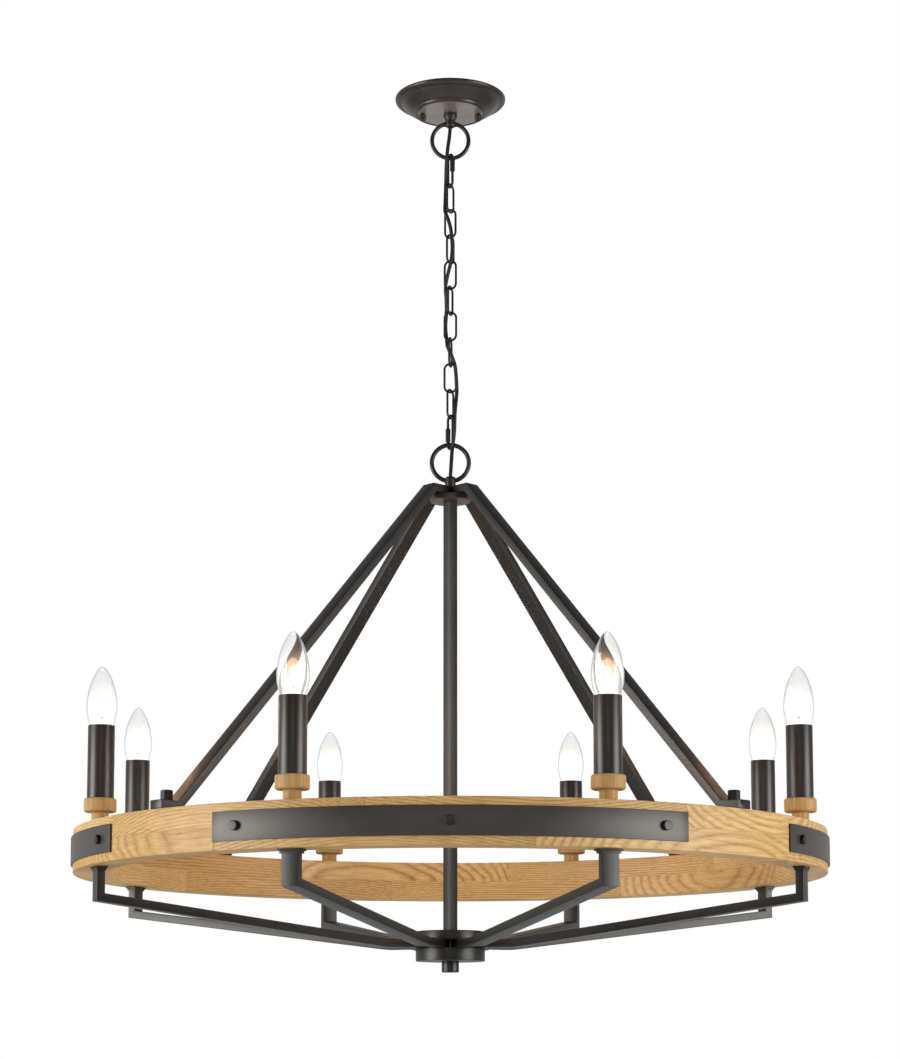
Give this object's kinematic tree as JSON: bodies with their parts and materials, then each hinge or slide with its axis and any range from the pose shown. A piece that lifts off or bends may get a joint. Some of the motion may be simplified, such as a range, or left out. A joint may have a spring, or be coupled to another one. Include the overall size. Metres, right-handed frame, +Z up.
{
  "type": "wagon wheel chandelier",
  "caption": "Hanging lamp with a wooden wheel, sloping steel arms above and below, a stem, candle lamps round the rim, and a chain and canopy for the ceiling.",
  "frame": {"origin": "middle of the canopy's rim, in the plane of the ceiling", "axes": "+Z up into the ceiling, +X along the mounting strap, -Y towards the front"},
  "size_m": [0.9236, 0.9236, 1.1015],
  "materials": {
    "steel": "satin",
    "bronze": "satin",
    "honey_wood": "satin",
    "cup_wood": "satin",
    "sleeve_black": "matte",
    "cord_black": "matte",
    "glass": "gloss",
    "filament": "gloss",
    "bulb_brass": "satin",
    "socket_black": "satin"
  },
  "bodies": {
    "ceiling": {"mounting_strap": "steel", "strap_screws": "steel", "canopy": "bronze", "canopy_nuts": "bronze", "canopy_loop": "bronze", "loop_nipple": "steel", "nipple_nut": "steel", "supply_cord": "cord_black"},
    "quick_link_top": {"quick_link_top": "bronze"},
    "chain_link_1": {"chain_link_1": "bronze"},
    "chain_link_2": {"chain_link_2": "bronze"},
    "chain_link_3": {"chain_link_3": "bronze"},
    "chain_link_4": {"chain_link_4": "bronze"},
    "chain_link_5": {"chain_link_5": "bronze"},
    "chain_link_6": {"chain_link_6": "bronze"},
    "chain_link_7": {"chain_link_7": "bronze"},
    "chain_link_8": {"chain_link_8": "bronze"},
    "chain_link_9": {"chain_link_9": "bronze"},
    "quick_link_bottom": {"quick_link_bottom": "bronze"},
    "quick_link_top_sleeve": {"quick_link_top_sleeve": "bronze"},
    "quick_link_bottom_sleeve": {"quick_link_bottom_sleeve": "bronze"},
    "bulb_1": {"bulb_1": "glass"},
    "bulb_2": {"bulb_2": "glass"},
    "bulb_3": {"bulb_3": "glass"},
    "bulb_4": {"bulb_4": "glass"},
    "bulb_5": {"bulb_5": "glass"},
    "bulb_6": {"bulb_6": "glass"},
    "bulb_7": {"bulb_7": "glass"},
    "bulb_8": {"bulb_8": "glass"},
    "fixture": {"body_loop": "bronze", "hub_plate": "bronze", "upper_arm_1": "bronze", "upper_arm_2": "bronze", "upper_arm_3": "bronze", "upper_arm_4": "bronze", "stem": "bronze", "stem_pipe": "steel", "ring_studs": "steel", "ring_nuts": "bronze", "ring_upper": "honey_wood", "ring_lower": "honey_wood", "bands": "bronze", "band_bolts": "bronze", "hub_cover": "bronze", "hub_body": "bronze", "finial": "bronze", "wire_connectors": "socket_black", "lower_arm_1": "bronze", "lower_arm_2": "bronze", "lower_arm_3": "bronze", "lower_arm_4": "bronze", "lower_arm_5": "bronze", "lower_arm_6": "bronze", "lower_arm_7": "bronze", "lower_arm_8": "bronze", "arm_leads": "cord_black", "socket_nipples": "steel", "candle_cups": "cup_wood", "candle_sleeves": "sleeve_black", "sockets": "socket_black"}
  },
  "joints": [
    {"name": "quick_link_top_swing", "type": "hinge", "parent": "ceiling", "child": "quick_link_top", "pos_m": [0, 0, -0.0776], "axis": [1, 0, 0], "range_deg": [-7.5, 7.5], "deforming": ["supply_cord"]},
    {"name": "chain_link_1_swing", "type": "hinge", "parent": "quick_link_top", "child": "chain_link_1", "pos_m": [0, 0, -0.11515], "axis": [0.4695, -0.8829, 0], "range_deg": [-7.5, 7.5], "deforming": ["supply_cord"]},
    {"name": "chain_link_2_swing", "type": "hinge", "parent": "chain_link_1", "child": "chain_link_2", "pos_m": [0, 0, -0.1481], "axis": [0.5446, 0.8387, 0], "range_deg": [-7.5, 7.5], "deforming": ["supply_cord"]},
    {"name": "chain_link_3_swing", "type": "hinge", "parent": "chain_link_2", "child": "chain_link_3", "pos_m": [0, 0, -0.1813], "axis": [0.9063, -0.4226, 0], "range_deg": [-7.5, 7.5], "deforming": ["supply_cord"]},
    {"name": "chain_link_4_swing", "type": "hinge", "parent": "chain_link_3", "child": "chain_link_4", "pos_m": [0, 0, -0.2145], "axis": [0.5736, 0.8192, 0], "range_deg": [-7.5, 7.5], "deforming": ["supply_cord"]},
    {"name": "chain_link_5_swing", "type": "hinge", "parent": "chain_link_4", "child": "chain_link_5", "pos_m": [0, 0, -0.2477], "axis": [0.9659, -0.2588, 0], "range_deg": [-7.5, 7.5], "deforming": ["supply_cord"]},
    {"name": "chain_link_6_swing", "type": "hinge", "parent": "chain_link_5", "child": "chain_link_6", "pos_m": [0, 0, -0.2809], "axis": [0.3746, 0.9272, 0], "range_deg": [-7.5, 7.5], "deforming": ["supply_cord"]},
    {"name": "chain_link_7_swing", "type": "hinge", "parent": "chain_link_6", "child": "chain_link_7", "pos_m": [0, 0, -0.3141], "axis": [0.9962, -0.0872, 0], "range_deg": [-7.5, 7.5], "deforming": ["supply_cord"]},
    {"name": "chain_link_8_swing", "type": "hinge", "parent": "chain_link_7", "child": "chain_link_8", "pos_m": [0, 0, -0.3473], "axis": [0.2079, 0.9781, 0], "range_deg": [-7.5, 7.5], "deforming": ["supply_cord"]},
    {"name": "chain_link_9_swing", "type": "hinge", "parent": "chain_link_8", "child": "chain_link_9", "pos_m": [0, 0, -0.3805], "axis": [1, 0, 0], "range_deg": [-7.5, 7.5], "deforming": ["supply_cord"]},
    {"name": "quick_link_bottom_swing", "type": "hinge", "parent": "chain_link_9", "child": "quick_link_bottom", "pos_m": [0, 0, -0.4137], "axis": [0.5, 0.866, 0], "range_deg": [-7.5, 7.5], "deforming": ["supply_cord"]},
    {"name": "fixture_swing", "type": "hinge", "parent": "quick_link_bottom", "child": "fixture", "pos_m": [0, 0, -0.45245], "axis": [0.5, -0.866, 0], "range_deg": [-7.5, 7.5], "deforming": ["supply_cord"]},
    {"name": "quick_link_top_sleeve_slide", "type": "slide", "parent": "quick_link_top", "child": "quick_link_top_sleeve", "axis": [0, 0, 1], "range_m": [-0.0082, 0]},
    {"name": "quick_link_bottom_sleeve_slide", "type": "slide", "parent": "quick_link_bottom", "child": "quick_link_bottom_sleeve", "axis": [0, 0, 1], "range_m": [0, 0.0082]},
    {"name": "bulb_1_unscrew", "type": "slide", "parent": "fixture", "child": "bulb_1", "axis": [0, 0, 1], "range_m": [0, 0.045]},
    {"name": "bulb_2_unscrew", "type": "slide", "parent": "fixture", "child": "bulb_2", "axis": [0, 0, 1], "range_m": [0, 0.045]},
    {"name": "bulb_3_unscrew", "type": "slide", "parent": "fixture", "child": "bulb_3", "axis": [0, 0, 1], "range_m": [0, 0.045]},
    {"name": "bulb_4_unscrew", "type": "slide", "parent": "fixture", "child": "bulb_4", "axis": [0, 0, 1], "range_m": [0, 0.045]},
    {"name": "bulb_5_unscrew", "type": "slide", "parent": "fixture", "child": "bulb_5", "axis": [0, 0, 1], "range_m": [0, 0.045]},
    {"name": "bulb_6_unscrew", "type": "slide", "parent": "fixture", "child": "bulb_6", "axis": [0, 0, 1], "range_m": [0, 0.045]},
    {"name": "bulb_7_unscrew", "type": "slide", "parent": "fixture", "child": "bulb_7", "axis": [0, 0, 1], "range_m": [0, 0.045]},
    {"name": "bulb_8_unscrew", "type": "slide", "parent": "fixture", "child": "bulb_8", "axis": [0, 0, 1], "range_m": [0, 0.045]}
  ]
}
